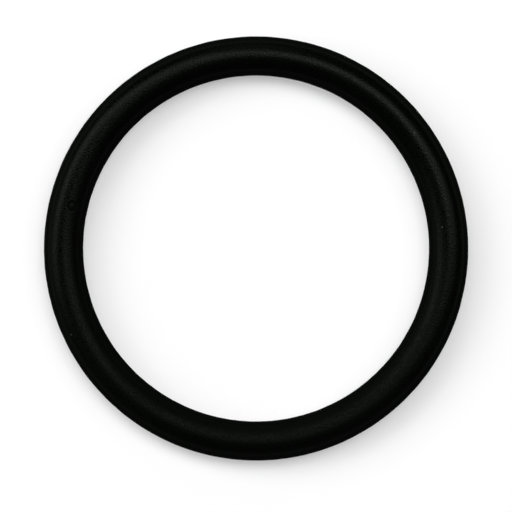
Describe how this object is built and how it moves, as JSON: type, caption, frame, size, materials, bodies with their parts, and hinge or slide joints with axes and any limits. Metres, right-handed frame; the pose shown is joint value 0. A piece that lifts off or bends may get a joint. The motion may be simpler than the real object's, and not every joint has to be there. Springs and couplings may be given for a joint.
{
  "type": "rubber o-ring",
  "caption": "Black rubber o-ring with a round section and a fine parting line round its inside and outside, a seal for a shaft or a bore.",
  "frame": {"origin": "middle of the ring, in the plane of its parting line, half a section above the surface that it lies on", "axes": "+Z along the ring's axis, with the ring lying flat in X and Y"},
  "size_m": [0.0442, 0.0442, 0.004],
  "materials": {
    "rubber": "satin"
  },
  "bodies": {
    "root": {"o_ring": "rubber"}
  },
  "joints": []
}
